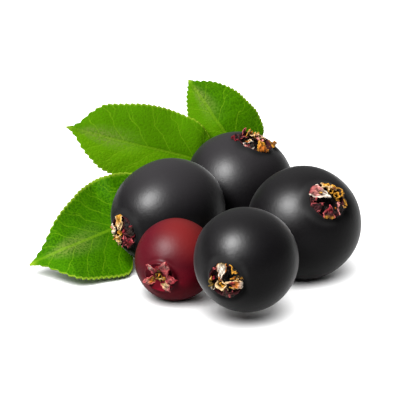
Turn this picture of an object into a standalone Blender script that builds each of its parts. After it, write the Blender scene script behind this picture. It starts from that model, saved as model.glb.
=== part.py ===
"""A sprig of five round berries with dried calyx crowns, three toothed leaves and the woody stem that joins them.

It lies on the ground as picked: the back, right and red berries rest on z = 0, and the left and front ones hang
on their stalks just above it. Lengths are in millimetres, and MM turns them into the scene's metres.
X runs to the right, Y away from the front berry and Z up. The origin is under the middle of the whole sprig.
"""

import math
from collections import namedtuple

import bmesh
import bpy
import numpy as np
from mathutils import Vector

MM = 0.001

# Berries: centre, radius across the poles, half length along them, the way the calyx and the stalk face, whether
# it rests on the ground, the size of its basin, its skin, and how its sepals lie and are turned, in degrees
Berry = namedtuple("Berry", "centre girth length calyx stalk rests basin skin sepals turn")
BERRIES = {
    "left": Berry((-2.6, 1.3, 5.48), 5.31, 6.1, (-0.77, -0.626, -0.123), (0.93, 0.25, -0.26),
                  False, 0.88, "black", "folded", 93),
    "back": Berry((4.6, 10.45, 5.28), 5.42, 5.34, (0.31, -0.168, 0.936), (-0.6, -0.1, -0.79),
                  True, 0.95, "black", "folded", 60),
    "right": Berry((11.0, -2.3, 5.62), 5.72, 5.66, (0.40, -0.657, 0.639), (-0.75, 0.45, -0.48),
                   True, 1.0, "black", "folded", 128),
    "front": Berry((5.1, -14.75, 6.15), 5.12, 5.2, (-0.40, -0.911, -0.101), (0.40, 0.905, 0.143),
                   False, 0.92, "black", "folded", 100),
    "red": Berry((-1.8, -8.75, 4.0), 4.08, 4.1, (-0.38, -0.915, -0.136), (0.37, 0.924, 0.073),
                 True, 0.8, "red", "open", 62),
}
BERRY_STEPS = 24
BERRY_RINGS = 13
GROUND_BLOCK = 40.0

# Calyx basin of a berry whose basin is 1: radius and height above the pole, from the floor out to the lip
BASIN = [(0.0, -1.0), (0.95, -0.98), (1.45, -0.85), (1.7, -0.5), (1.82, -0.22), (1.95, -0.14)]
BASIN_EDGE = 2.15

# Dimple that the stalk's end sits in, with a gap all round it, and the stalk's neck just outside the skin
DIMPLE_RADIUS = 1.1
DIMPLE_DEPTH = 0.35
STALK_GAP = 0.2
STALK_NECK = 0.7

# Calyx crown: a cup on the basin's floor, the stub in its middle, and five sepals, which fold in over the basin
# or lie open over its lip. Each sepal's height is lifted by its own lean, most at its tip
CUP = [(0.0, -0.55), (0.85, -0.58), (1.1, -0.3), (1.38, -0.3), (1.42, -0.6), (1.1, -0.76), (0.0, -0.78)]
CUP_STEPS = 15
STUB = [(0.0, 0.0), (0.18, 0.0), (0.26, -0.6), (0.0, -0.62)]
STUB_STEPS = 8
SEPAL_PATHS = {
    "folded": [(1.28, -0.45), (1.56, -0.02), (1.42, 0.2), (0.9, 0.3)],
    "open": [(1.2, -0.45), (1.36, 0.05), (1.75, 0.27), (2.25, 0.3)],
}
SEPAL_HALF_WIDTHS = [0.5, 0.62, 0.55, 0.24]
SEPAL_TURNS = [0.0, 76.0, 141.0, 219.0, 286.0]
SEPAL_LEANS = [0.0, 0.12, 0.04, 0.15, 0.08]
SEPAL_CUPPING = 0.1
SEPAL_THICKNESS = 0.6

# Leaves: the midrib from base to tip, the leaf's stalk, the half width on each side as (share of the length,
# width in the view's plane), the way each half spreads from the midrib on the blade and at its root, the number
# of teeth, how much the blade waves and arches across, and the shares between which the roots' way gives over
Leaf = namedtuple("Leaf", "midrib stalk widths spreads roots teeth wave arch turn")
LEAVES = {
    "lower": Leaf(
        midrib=[(-1.7, 7.8, 4.6), (-4.6, 7.5, 3.5), (-7.2, 5.0, 2.95), (-8.5, 3.2, 2.85), (-11.6, -0.6, 2.78),
                (-13.4, -2.1, 2.5), (-16.5, -2.4, 1.1)],
        stalk=[(-1.5, 11.2, 3.4), (-1.7, 10.0, 4.05), (-1.7, 7.8, 4.6)],
        widths=([(0, 0.4), (0.1, 3.3), (0.2, 4.6), (0.38, 5.3), (0.53, 5.0), (0.63, 4.4), (0.72, 3.77),
                 (0.8, 3.0), (0.855, 2.1), (0.905, 1.17), (0.95, 0.55), (1, 0.25)],
                [(0, 0.4), (0.1, 1.3), (0.2, 2.2), (0.3, 2.8), (0.37, 3.3), (0.45, 4.95), (0.65, 4.1),
                 (0.72, 3.78), (0.79, 3.3), (0.85, 2.45), (0.925, 0.9), (0.955, 0.5), (1, 0.25)]),
        spreads=((-0.404, 0.997, 0.623), (0.404, -1.27, -0.53)),
        roots=((-0.404, 0.58, 0.766), (0.404, -0.2, -0.62)),
        teeth=27,
        wave=0.08,
        arch=-0.06,
        turn=(0.28, 0.47),
    ),
    "upper": Leaf(
        midrib=[(2.05, 16.1, 5.4), (0.6, 15.5, 6.0), (-0.7, 14.8, 6.8), (-5.15, 13.5, 8.35), (-8.3, 12.9, 9.35),
                (-13.1, 12.1, 10.95)],
        stalk=[(1.8, 15.85, 4.0), (1.9, 16.0, 4.7), (2.05, 16.1, 5.4)],
        widths=([(0, 0.4), (0.04, 1.8), (0.08, 2.75), (0.12, 3.25), (0.2, 3.85), (0.27, 4.07), (0.4, 4.37),
                 (0.55, 4.22), (0.71, 3.66), (0.79, 3.28), (0.84, 2.6), (0.885, 1.75), (0.915, 0.95),
                 (0.95, 0.45), (1, 0.25)],
                [(0, 0.4), (0.1, 1.6), (0.25, 2.6), (0.45, 3.25), (0.6, 3.5), (0.72, 3.22), (0.8, 2.5),
                 (0.865, 1.72), (0.915, 0.87), (0.95, 0.47), (1, 0.25)]),
        spreads=((0.25, 0.693, 0.785), (-0.25, -0.41, -0.88)),
        roots=((0.25, 0.41, 0.88), (-0.25, -0.315, -0.915)),
        teeth=25,
        wave=0.15,
        arch=0.06,
        turn=(0.0, 0.4),
    ),
    "top": Leaf(
        midrib=[(5.2, 17.6, 5.1), (3.1, 17.6, 8.7), (2.2, 17.9, 9.9), (1.4, 18.5, 11.05), (-0.6, 20.0, 13.5)],
        stalk=[(6.0, 17.15, 4.0), (5.65, 17.45, 4.5), (5.2, 17.6, 5.1)],
        widths=([(0, 0.4), (0.08, 2.2), (0.17, 3.5), (0.33, 3.94), (0.43, 3.87), (0.6, 3.5), (0.73, 2.87),
                 (0.83, 2.1), (0.88, 1.5), (0.94, 0.7), (1, 0.25)],
                [(0, 0.4), (0.1, 1.6), (0.2, 2.5), (0.35, 3.1), (0.5, 3.0), (0.6, 2.7), (0.7, 2.2), (0.79, 1.65),
                 (0.86, 1.15), (0.94, 0.5), (1, 0.25)]),
        spreads=((0.833, 0.42, 0.44), (-0.833, 0.293, -0.686)),
        roots=((0.833, 0.42, 0.44), (-0.833, 0.293, -0.686)),
        teeth=18,
        wave=0.12,
        arch=0.06,
        turn=(0.0, 0.4),
    ),
}
LEAF_THICKNESS = 0.6
LEAF_COLUMNS = [0.0, 0.5, 0.86, 1.0]
LEAF_REST = 0.34
LEAF_REST_BEND = 0.3
TOOTH_DEPTH = 0.2
TOOTH_SLANT = 0.1
TOOTH_FADE = 0.06
WAVES = 2.2
WAVE_SHIFT = 0.3
RIB_RADII = [0.42, 0.4, 0.4, 0.36, 0.3, 0.2]
RIB_END = 0.86

# Stem: centre lines with radii from their first point to their last, and balls for its knots and leaf scars
TWIG = [(14.6, 16.5, 0.85), (10.8, 17.1, 1.7), (6.6, 17.0, 2.6), (3.4, 16.5, 2.85), (0.6, 15.0, 2.75),
        (-1.4, 11.4, 2.1), (-0.6, 8.0, 1.4), (1.1, 5.2, 1.3), (3.1, 2.0, 2.2), (4.6, -0.5, 3.8)]
TWIG_RADII = (0.82, 0.48)
STALK_RADII = (0.4, 0.34)
STALK_END_RADIUS = 0.48
STALK_ROUTES = {
    "left": [(4.0, 0.6, 3.3), (4.2, 2.1, 3.7)],
    "back": [(-1.2, 10.4, 1.9), (0.1, 10.1, 1.3)],
    "right": [(4.4, -0.2, 3.6), (5.4, 0.6, 3.0)],
    "front": [(4.4, -0.2, 3.7), (4.4, -5.0, 6.0), (5.9, -8.3, 6.8)],
    "red": [(4.4, -0.2, 3.7), (2.1, -3.0, 4.1)],
}
KNOTS = [((6.3, 16.9, 2.65), 1.05), ((1.75, 15.75, 2.8), 0.88), ((-1.35, 11.4, 2.1), 0.9), ((4.5, -0.3, 3.7), 0.85)]
LEAF_SCARS = [((12.3, 16.95, 1.55), 0.95), ((2.0, 3.75, 1.75), 0.72)]
TUBE_STEP = 0.9
LEAF_SHARP = 50
BERRY_SHARP = 40

# Colours as linear red, green and blue, with roughness
BLACK_SKIN = ((0.018, 0.016, 0.021), 0.42)
RED_SKIN = ((0.19, 0.013, 0.016), 0.4)
DRY_CALYX = ((0.38, 0.19, 0.09), 0.8)
LEAF_GREEN = ((0.1, 0.28, 0.006), 0.5)
BARK = ((0.13, 0.075, 0.04), 0.85)


def clear_scene():
    for thing in list(bpy.data.objects):
        bpy.data.objects.remove(thing, do_unlink=True)


def new_collection(name):
    group = bpy.data.collections.new(name)
    bpy.context.scene.collection.children.link(group)
    return group


def finish(name, skin):
    """A Principled material of one colour and roughness, not metallic."""
    colour, roughness = skin
    made = bpy.data.materials.new(name)
    made.use_nodes = True
    shader = made.node_tree.nodes["Principled BSDF"]
    shader.inputs["Base Color"].default_value = (*colour, 1.0)
    shader.inputs["Roughness"].default_value = roughness
    shader.inputs["Metallic"].default_value = 0.0
    return made


def mesh_object(name, points, edges, faces, group):
    """An object whose mesh has these points, given in millimetres."""
    mesh = bpy.data.meshes.new(name)
    mesh.from_pydata([tuple(p) for p in np.asarray(points, float) * MM], edges, faces)
    mesh.update()
    thing = bpy.data.objects.new(name, mesh)
    group.objects.link(thing)
    return thing


def baked(thing):
    """The object with its modifiers applied and its place and turn carried into the mesh."""
    bpy.context.view_layer.update()
    graph = bpy.context.evaluated_depsgraph_get()
    mesh = bpy.data.meshes.new_from_object(thing.evaluated_get(graph))
    mesh.transform(thing.matrix_world)
    name = thing.name
    group = thing.users_collection[0]
    bpy.data.objects.remove(thing, do_unlink=True)
    made = bpy.data.objects.new(name, mesh)
    made.name = name
    group.objects.link(made)
    return made


def boolean(thing, other, operation, solver="EXACT"):
    """One Boolean by another object or by a whole collection, applied."""
    cut = thing.modifiers.new(operation.lower(), "BOOLEAN")
    cut.operation = operation
    cut.solver = solver
    if isinstance(other, bpy.types.Collection):
        cut.operand_type = "COLLECTION"
        cut.collection = other
    else:
        cut.object = other
    return baked(thing)


def fused(body, others, solver="EXACT"):
    """The body joined by one Boolean union with the others, which are then removed."""
    extra = new_collection(body.name + "_extra")
    for other in others:
        for group in list(other.users_collection):
            group.objects.unlink(other)
        extra.objects.link(other)
    made = boolean(body, extra, "UNION", solver)
    for other in list(extra.objects):
        bpy.data.objects.remove(other, do_unlink=True)
    bpy.data.collections.remove(extra)
    keep_largest_shell(made)
    return made


def keep_largest_shell(thing):
    """Fill any pocket that fusing sealed and drop any loose scrap: only the shell of most corners stays."""
    work = bmesh.new()
    work.from_mesh(thing.data)
    left = set(work.verts)
    shells = []
    while left:
        shell = {left.pop()}
        edge = list(shell)
        while edge:
            for link in edge.pop().link_edges:
                for corner in link.verts:
                    if corner in left:
                        left.remove(corner)
                        shell.add(corner)
                        edge.append(corner)
        shells.append(shell)
    shells.sort(key=len)
    for shell in shells[:-1]:
        bmesh.ops.delete(work, geom=list(shell), context="VERTS")
    work.to_mesh(thing.data)
    work.free()


def smooth_path(points, count):
    """Points evenly spread along the Catmull-Rom curve through the given ones."""
    knots = np.asarray(points, float)
    ends = np.vstack([2 * knots[0] - knots[1], knots, 2 * knots[-1] - knots[-2]])
    place = np.linspace(0, len(knots) - 1, 40 * len(knots))
    first = np.minimum(place.astype(int), len(knots) - 2)
    t = (place - first)[:, None]
    a, b, c, d = (ends[first + k] for k in range(4))
    dense = 0.5 * (2 * b + (c - a) * t + (2 * a - 5 * b + 4 * c - d) * t**2 + (3 * b - a - 3 * c + d) * t**3)
    run = np.concatenate([[0], np.cumsum(np.linalg.norm(np.diff(dense, axis=0), axis=1))])
    even = np.linspace(0, run[-1], count)
    return np.stack([np.interp(even, run, dense[:, k]) for k in range(dense.shape[1])], axis=1)


def tube(name, route, radii, group):
    """A round tube along the smooth curve through the route, its radius running through the given radii."""
    length = np.linalg.norm(np.diff(np.asarray(route, float), axis=0), axis=1).sum()
    points = smooth_path(route, max(4, int(length / TUBE_STEP) + 2))
    share = np.linspace(0, 1, len(points))
    radius = np.interp(share, np.linspace(0, 1, len(radii)), radii)
    line = bpy.data.curves.new(name, "CURVE")
    line.dimensions = "3D"
    line.bevel_depth = MM
    line.bevel_resolution = 2
    line.use_fill_caps = True
    spline = line.splines.new("POLY")
    spline.points.add(len(points) - 1)
    for knot, place, size in zip(spline.points, points * MM, radius):
        knot.co = (*place, 1.0)
        knot.radius = size
    thing = bpy.data.objects.new(name, line)
    group.objects.link(thing)
    made = baked(thing)
    weld(made)
    return made


def weld(thing):
    """Merge the loose caps of a tube with its wall."""
    work = bmesh.new()
    work.from_mesh(thing.data)
    bmesh.ops.remove_doubles(work, verts=work.verts, dist=0.00001)
    work.to_mesh(thing.data)
    work.free()


def ball(name, centre, radius, group):
    """A round ball of few faces, for a knot or a cutter."""
    bpy.ops.mesh.primitive_uv_sphere_add(segments=12, ring_count=8, radius=radius * MM)
    thing = bpy.context.object
    thing.name = name
    thing.location = Vector(centre) * MM
    for old in list(thing.users_collection):
        old.objects.unlink(thing)
    group.objects.link(thing)
    return baked(thing)


def turned(name, profile, steps, direction, centre, group):
    """The profile of (radius, height) turned about Z by Screw, then set with +Z along the direction."""
    points = [(r, 0.0, h) for r, h in profile]
    edges = [(i, i + 1) for i in range(len(points) - 1)]
    thing = mesh_object(name, points, edges, [], group)
    screw = thing.modifiers.new("turn", "SCREW")
    screw.steps = steps
    screw.render_steps = steps
    screw.use_merge_vertices = True
    screw.merge_threshold = 0.00001
    screw.use_smooth_shade = True
    thing.rotation_mode = "QUATERNION"
    thing.rotation_quaternion = Vector(direction).to_track_quat("Z", "Y")
    thing.location = Vector(centre) * MM
    return baked(thing)


def at_pole(profile, berry):
    """A profile given in the basin's measure from the pole, as radius and height from the berry's centre."""
    return [(r * berry.basin, berry.length + h * berry.basin) for r, h in profile]


def berry_profile(berry):
    """The basin from its floor to the lip, then the egg shape down to the far pole."""
    edge = math.asin(BASIN_EDGE * berry.basin / berry.girth)
    angles = np.linspace(edge, math.pi, BERRY_RINGS)
    outside = [(berry.girth * math.sin(a), berry.length * math.cos(a)) for a in angles[:-1]]
    return at_pole(BASIN, berry) + outside + [(0.0, -berry.length)]


def stalk_foot(berry, depth):
    """The point where the stalk meets the berry, this far below its skin."""
    stalk = np.array(berry.stalk) / np.linalg.norm(berry.stalk)
    pole = np.array(berry.calyx) / np.linalg.norm(berry.calyx)
    along = stalk @ pole
    reach = 1 / math.sqrt(along**2 / berry.length**2 + (1 - along**2) / berry.girth**2)
    return np.array(berry.centre) + stalk * (reach - depth)


def build_berry(name, berry, group, cutters):
    """One berry with its calyx basin, the dimple of its stalk and, where it rests, a small flat."""
    body = turned("berry_" + name, berry_profile(berry), BERRY_STEPS, berry.calyx, berry.centre, group)
    dimple = ball("dimple_" + name, stalk_foot(berry, DIMPLE_DEPTH - DIMPLE_RADIUS), DIMPLE_RADIUS, cutters)
    body = boolean(body, dimple, "DIFFERENCE")
    if berry.rests:
        body = boolean(body, ground_block(cutters), "DIFFERENCE")
    body.data.shade_smooth()
    body.data.set_sharp_from_angle(angle=math.radians(BERRY_SHARP))
    return body


def ground_block(cutters):
    """A block whose top is the ground, made once."""
    found = cutters.objects.get("ground_block")
    if found:
        return found
    bpy.ops.mesh.primitive_cube_add(size=GROUND_BLOCK * MM)
    block = bpy.context.object
    block.name = "ground_block"
    block.location = (0.0, 0.0, -GROUND_BLOCK / 2 * MM)
    for old in list(block.users_collection):
        old.objects.unlink(block)
    cutters.objects.link(block)
    return block


def sepal(angle, lean, berry, group):
    """One sepal: a strip along its path, lifted by the lean and cupped across, as a sheet with thickness."""
    path = np.array(SEPAL_PATHS[berry.sepals])
    lift = np.linspace(0, 1, len(path)) ** 2 * lean
    radius = path[:, 0] * berry.basin
    height = berry.length + (path[:, 1] + lift) * berry.basin
    half = np.array(SEPAL_HALF_WIDTHS) * berry.basin
    points = []
    for side in (-1.0, 0.0, 1.0):
        x = radius * math.cos(angle) - side * half * math.sin(angle)
        y = radius * math.sin(angle) + side * half * math.cos(angle)
        points.append(np.stack([x, y, height + SEPAL_CUPPING * abs(side)], axis=1))
    rows = len(path)
    faces = []
    for column in range(2):
        for row in range(rows - 1):
            a = column * rows + row
            b = a + rows
            faces += [(a, a + 1, b + 1), (a, b + 1, b)]
    thing = mesh_object("sepal", np.concatenate(points), [], faces, group)
    wall = thing.modifiers.new("wall", "SOLIDIFY")
    wall.thickness = SEPAL_THICKNESS * MM
    wall.offset = 0.0
    thing.rotation_mode = "QUATERNION"
    thing.rotation_quaternion = Vector(berry.calyx).to_track_quat("Z", "Y")
    thing.location = Vector(berry.centre) * MM
    return baked(thing)


def build_crown(name, berry, group):
    """The dried calyx of one berry: cup, middle stub and five sepals grown together."""
    body = turned("calyx_" + name, at_pole(CUP, berry), CUP_STEPS, berry.calyx, berry.centre, group)
    others = [turned("stub", at_pole(STUB, berry), STUB_STEPS, berry.calyx, berry.centre, group)]
    for turn, lean in zip(SEPAL_TURNS, SEPAL_LEANS):
        others.append(sepal(math.radians(berry.turn + turn), lean, berry, group))
    return fused(body, others, "MANIFOLD")


def leaf_grid(leaf):
    """The blade's middle sheet: rows from base to tip, columns from one edge over the midrib to the other.

    A point lies on the midrib's curve at its share of the length, plus its half width times the way its side
    spreads, plus a low arch and a wave across the sheet. Every second row stands out at the edge as a tooth.
    A sheet that comes down to the ground bends to lie on it, through a square root that rounds the bend.
    """
    rows = 2 * leaf.teeth + 1
    share = np.linspace(0, 1, rows)
    curve = smooth_path(leaf.midrib, 400)
    chord = curve[-1] - curve[0]
    along = (curve - curve[0]) @ chord / (chord @ chord)
    middle = np.stack([np.interp(share, along, curve[:, k]) for k in range(3)], axis=1)
    tangent = np.gradient(middle, axis=0)
    tangent /= np.linalg.norm(tangent, axis=1)[:, None]
    blend = np.clip((share - leaf.turn[0]) / (leaf.turn[1] - leaf.turn[0]), 0, 1)
    blend = (blend * blend * (3 - 2 * blend))[:, None]
    tooth = (np.arange(rows) % 2) * np.clip(np.minimum(share, 1 - share) / TOOTH_FADE, 0, 1)
    halves = []
    for side in range(2):
        outline = smooth_path(leaf.widths[side], 300)
        half = np.interp(share, outline[:, 0], outline[:, 1])
        spread = (1 - blend) * np.array(leaf.roots[side]) + blend * np.array(leaf.spreads[side])
        normal = np.cross(spread, tangent) * (1 if side == 0 else -1)
        normal /= np.linalg.norm(normal, axis=1)[:, None]
        fullness = (half / half.max()) ** 2
        wave = leaf.wave * np.sin(math.tau * (WAVES * share + WAVE_SHIFT * side)) * fullness
        columns = []
        for u in LEAF_COLUMNS:
            edge = tooth if u == 1.0 else 0.0 * tooth
            reach = half * u + edge * TOOTH_DEPTH
            bow = 4 * leaf.arch * half.max() * fullness * u * (1 - u) + wave * u * u
            columns.append(middle + spread * reach[:, None] + normal * bow[:, None]
                           + tangent * (edge * TOOTH_SLANT)[:, None])
        halves.append(columns)
    grid = np.stack(halves[0][:0:-1] + halves[1], axis=1)
    above = grid[:, :, 2] - LEAF_REST
    grid[:, :, 2] = LEAF_REST + (above + np.sqrt(above**2 + LEAF_REST_BEND**2)) / 2
    return grid


def build_leaf(name, leaf, group):
    """A leaf: its toothed blade as a sheet with thickness, fused with the stalk and raised midrib."""
    grid = leaf_grid(leaf)
    rows, columns = grid.shape[:2]
    faces = []
    for row in range(rows - 1):
        for column in range(columns - 1):
            a = row * columns + column
            b = a + columns
            faces += [(a, a + 1, b + 1), (a, b + 1, b)]
    blade = mesh_object("leaf_" + name, grid.reshape(-1, 3), [], faces, group)
    wall = blade.modifiers.new("wall", "SOLIDIFY")
    wall.thickness = LEAF_THICKNESS * MM
    wall.offset = 0.0
    blade = baked(blade)
    middle = grid[: int(RIB_END * rows), columns // 2]
    route = np.vstack([np.array(leaf.stalk)[:-1], middle[:: max(1, rows // 10)]])
    rib = tube("rib", route, RIB_RADII, group)
    body = fused(blade, [rib])
    body.data.shade_smooth()
    body.data.set_sharp_from_angle(angle=math.radians(LEAF_SHARP))
    return body


def build_stem(group):
    """The woody stem: twig, knots, leaf scars and the five berry stalks, grown together."""
    twig = tube("stem", TWIG, TWIG_RADII, group)
    others = []
    for place, radius in KNOTS + LEAF_SCARS:
        others.append(ball("knot", place, radius, group))
    for name, route in STALK_ROUTES.items():
        berry = BERRIES[name]
        foot = stalk_foot(berry, DIMPLE_DEPTH - STALK_GAP)
        neck = stalk_foot(berry, -STALK_NECK)
        stalk = tube("stalk", route + [tuple(neck), tuple(foot)], STALK_RADII + (STALK_END_RADIUS,), group)
        others.append(stalk)
    body = fused(twig, others)
    body.data.shade_smooth()
    body.data.set_sharp_from_angle(angle=math.radians(LEAF_SHARP))
    return body


def paint(thing, skin):
    thing.data.materials.clear()
    thing.data.materials.append(skin)


def main():
    clear_scene()
    sprig = new_collection("berry_sprig")
    cutters = new_collection("cutters")
    black = finish("black_skin", BLACK_SKIN)
    red = finish("red_skin", RED_SKIN)
    dry = finish("dry_calyx", DRY_CALYX)
    green = finish("leaf_green", LEAF_GREEN)
    bark = finish("bark", BARK)
    for name, berry in BERRIES.items():
        paint(build_berry(name, berry, sprig, cutters), black if berry.skin == "black" else red)
        paint(build_crown(name, berry, sprig), dry)
    for name, leaf in LEAVES.items():
        paint(build_leaf(name, leaf, sprig), green)
    paint(build_stem(sprig), bark)
    for cutter in cutters.objects:
        cutter.hide_render = True
        cutter.display_type = "WIRE"


main()
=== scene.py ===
"""Looks of the berry sprig: berry skins, dried calyx crowns, veined leaves and the bark of the stem.

Lengths are in millimetres, and MM turns them into metres. X runs to the right, Y away from the camera and Z
up. Each surface is worked out with numpy as a grid of points, which its function's docstring puts into words.
"""

import math
from collections import namedtuple

import bpy
import numpy as np
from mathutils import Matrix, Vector


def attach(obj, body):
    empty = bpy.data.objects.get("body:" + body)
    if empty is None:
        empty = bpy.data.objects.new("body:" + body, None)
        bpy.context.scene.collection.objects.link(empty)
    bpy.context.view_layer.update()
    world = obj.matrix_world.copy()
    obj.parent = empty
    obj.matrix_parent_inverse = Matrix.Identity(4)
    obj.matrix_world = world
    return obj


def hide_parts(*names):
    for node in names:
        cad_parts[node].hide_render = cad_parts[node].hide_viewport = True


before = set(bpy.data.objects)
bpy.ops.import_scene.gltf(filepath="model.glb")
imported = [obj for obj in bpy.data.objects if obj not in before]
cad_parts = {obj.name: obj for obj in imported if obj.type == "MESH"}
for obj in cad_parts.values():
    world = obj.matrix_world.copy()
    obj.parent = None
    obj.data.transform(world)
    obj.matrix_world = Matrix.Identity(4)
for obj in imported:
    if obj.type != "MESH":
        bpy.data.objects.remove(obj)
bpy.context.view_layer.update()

MM = 0.001
TAU = math.tau
CURVE_STEPS = 40

# Camera: the point that it looks at, how far away it stands, how far down it looks, its lens and sensor, and
# the nearest and the farthest that it shows, in metres
LOOK_AT = (0.6, -1.5, 7.72)
CAMERA_DISTANCE = 500.0
CAMERA_DROP = math.radians(19)
LENS = 450.0
SENSOR = 36.0
NEAREST = 0.01
FARTHEST = 10.0
PICTURE_RIGHT = np.array([1.0, 0.0, 0.0])
PICTURE_UP = np.array([0.0, math.sin(CAMERA_DROP), math.cos(CAMERA_DROP)])
CAMERA_FORWARD = np.array([0.0, math.cos(CAMERA_DROP), -math.sin(CAMERA_DROP)])

# Berries: centre, radius across the poles, half length along them, the ways that the calyx and the stalk
# face, whether it rests on the table, its basin's measure, whether it is ripe, and how strong its blush,
# painted fill light on the red one, and its painted top light are
Berry = namedtuple("Berry", "centre girth length calyx stalk rests basin ripe blush sun")
BERRIES = {
    "left": Berry(centre=(-2.6, 1.3, 5.48), girth=5.31, length=6.1, calyx=(-0.742, -0.66, -0.115),
                  stalk=(0.93, 0.25, -0.26), rests=False, basin=0.88, ripe=True, blush=0.15, sun=0.7),
    "back": Berry(centre=(4.6, 10.45, 5.28), girth=5.6, length=5.36, calyx=(0.31, -0.168, 0.936),
                  stalk=(-0.6, -0.1, -0.79), rests=True, basin=0.95, ripe=True, blush=0.15, sun=0.7),
    "right": Berry(centre=(11.0, -2.3, 5.62), girth=5.72, length=5.66, calyx=(0.40, -0.657, 0.639),
                   stalk=(-0.75, 0.45, -0.48), rests=True, basin=1.0, ripe=True, blush=0.15, sun=0.05),
    "front": Berry(centre=(5.1, -14.75, 6.15), girth=5.12, length=5.2, calyx=(-0.40, -0.911, -0.101),
                   stalk=(0.40, 0.905, 0.143), rests=False, basin=0.92, ripe=True, blush=0.5, sun=0.05),
    "red": Berry(centre=(-1.8, -8.75, 4.0), girth=4.08, length=4.1, calyx=(-0.38, -0.915, -0.136),
                 stalk=(0.37, 0.924, 0.073), rests=True, basin=0.8, ripe=False, blush=1.0, sun=1.0),
}
BERRY_ROWS = 110
BERRY_COLUMNS = 96
FLESH_STEPS = 30
FLESH_WAVE = 0.035

# The basin's profile from its middle outwards, as radius and height over the pole, for a basin of measure 1
BASIN = [(0.0, -1.0), (0.95, -0.98), (1.45, -0.85), (1.7, -0.5), (1.82, -0.22), (1.95, -0.14)]
BASIN_EDGE = 2.15
BASIN_LIP = 1.75
BASIN_LIP_REACH = 0.75
BASIN_FOLDS = 5
BASIN_FOLD = 0.07
OPEN_BASIN = 0.05
# Painted shade round the basin: where it starts to fade and where it is gone, for a basin of measure 1
BASIN_SHADE_START = 2.0
BASIN_SHADE_END = 2.9
STALK_DIMPLE = 0.36
STALK_DIMPLE_RADIUS = 0.85

# Marks on the skins: the way they face, and the cosines to it between which they rise
SkinMark = namedtuple("SkinMark", "facing low high")
RIPE_BLUSH = SkinMark((0.85, 0.1, -0.35), 0.75, 1.0)
# Painted light: the upper side of a ripe skin is painted a lighter grey
RIPE_TOP_LIGHT = SkinMark((0.0, -0.1, 1.0), 0.2, 1.0)
# Painted fill light: the red skin's underside, in shade, is painted a brighter crimson
RED_FILL_LIGHT = SkinMark((0.1, -0.45, -0.9), 0.25, 1.0)
# Painted light: the red skin's upper side is painted a lighter brick red
RED_TOP_LIGHT = SkinMark((0.45, -0.25, 0.85), 0.4, 1.05)

# Leaves: the midrib from base to tip, the leaf's stalk, and for each half its width by share of the length
# and the way that it spreads from the midrib, on the blade and at its root; the number of teeth, the heights
# of the edge's wave and of the blade's arch, the shares of the length between which the root turns into the
# blade, and for each half how far its side veins lean forward and how much painted light lightens it
Leaf = namedtuple("Leaf", "midrib stalk widths spreads roots teeth wave arch turn lean pale")
LEAVES = {
    "lower": Leaf(
        midrib=[(-1.7, 7.8, 4.6), (-4.6, 7.5, 3.5), (-7.2, 5.0, 2.95), (-8.5, 3.2, 2.85),
                (-11.6, -0.6, 2.78), (-13.4, -2.1, 2.5), (-16.5, -2.4, 1.1)],
        stalk=[(-1.5, 11.2, 3.4), (-1.7, 10.0, 4.05)],
        widths=([(0, 0.4), (0.1, 3.3), (0.2, 4.6), (0.38, 5.3), (0.53, 5.0), (0.63, 4.4), (0.72, 3.77),
                 (0.8, 3.0), (0.855, 2.1), (0.905, 1.17), (0.95, 0.52), (1, 0.06)],
                [(0, 0.4), (0.1, 1.3), (0.2, 2.2), (0.3, 2.8), (0.37, 3.3), (0.45, 4.95), (0.65, 4.1),
                 (0.72, 3.78), (0.79, 3.3), (0.85, 2.45), (0.925, 0.9), (0.955, 0.47), (1, 0.06)]),
        spreads=((-0.404, 0.997, 0.623), (0.404, -1.27, -0.53)),
        roots=((-0.404, 0.58, 0.766), (0.404, -0.2, -0.62)),
        teeth=29,
        wave=0.08,
        arch=-0.06,
        turn=(0.28, 0.47),
        lean=(2.1, 1.2),
        pale=(0.0, 0.0),
    ),
    "upper": Leaf(
        midrib=[(2.05, 16.1, 5.4), (0.6, 15.5, 6.0), (-0.7, 14.8, 6.8), (-5.15, 13.5, 8.35),
                (-8.3, 12.9, 9.35), (-13.1, 12.1, 10.95)],
        stalk=[(1.8, 15.85, 4.0), (1.9, 16.0, 4.7)],
        widths=([(0, 0.4), (0.04, 1.8), (0.08, 2.75), (0.12, 3.25), (0.2, 3.85), (0.27, 4.07), (0.4, 4.37),
                 (0.55, 4.22), (0.71, 3.66), (0.79, 3.28), (0.84, 2.6), (0.885, 1.75), (0.915, 0.95),
                 (0.95, 0.42), (1, 0.06)],
                [(0, 0.4), (0.1, 1.6), (0.25, 2.6), (0.45, 3.25), (0.6, 3.5), (0.72, 3.22), (0.8, 2.5),
                 (0.865, 1.72), (0.915, 0.87), (0.95, 0.42), (1, 0.06)]),
        spreads=((0.25, 0.693, 0.785), (-0.25, -0.41, -0.88)),
        roots=((0.25, 0.41, 0.88), (-0.25, -0.315, -0.915)),
        teeth=29,
        wave=0.15,
        arch=0.06,
        turn=(0.0, 0.4),
        lean=(1.3, 1.5),
        pale=(0.5, 1.0),
    ),
    "top": Leaf(
        midrib=[(5.2, 17.6, 5.1), (3.1, 17.6, 8.7), (2.2, 17.9, 9.9), (1.4, 18.5, 11.05),
                (-0.6, 20.0, 13.5)],
        stalk=[(6.0, 17.15, 4.0), (5.65, 17.45, 4.5)],
        widths=([(0, 0.4), (0.08, 2.2), (0.17, 3.5), (0.33, 3.94), (0.43, 3.87), (0.6, 3.5), (0.73, 2.87),
                 (0.83, 2.1), (0.88, 1.5), (0.94, 0.62), (1, 0.06)],
                [(0, 0.4), (0.1, 1.6), (0.2, 2.5), (0.35, 3.1), (0.5, 3.0), (0.6, 2.7), (0.7, 2.2),
                 (0.79, 1.65), (0.86, 1.15), (0.94, 0.45), (1, 0.06)]),
        spreads=((0.833, 0.42, 0.44), (-0.833, 0.293, -0.686)),
        roots=((0.833, 0.42, 0.44), (-0.833, 0.293, -0.686)),
        teeth=27,
        wave=0.12,
        arch=0.06,
        turn=(0.0, 0.4),
        lean=(1.2, 1.2),
        pale=(0.15, 0.85),
    ),
}

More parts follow.
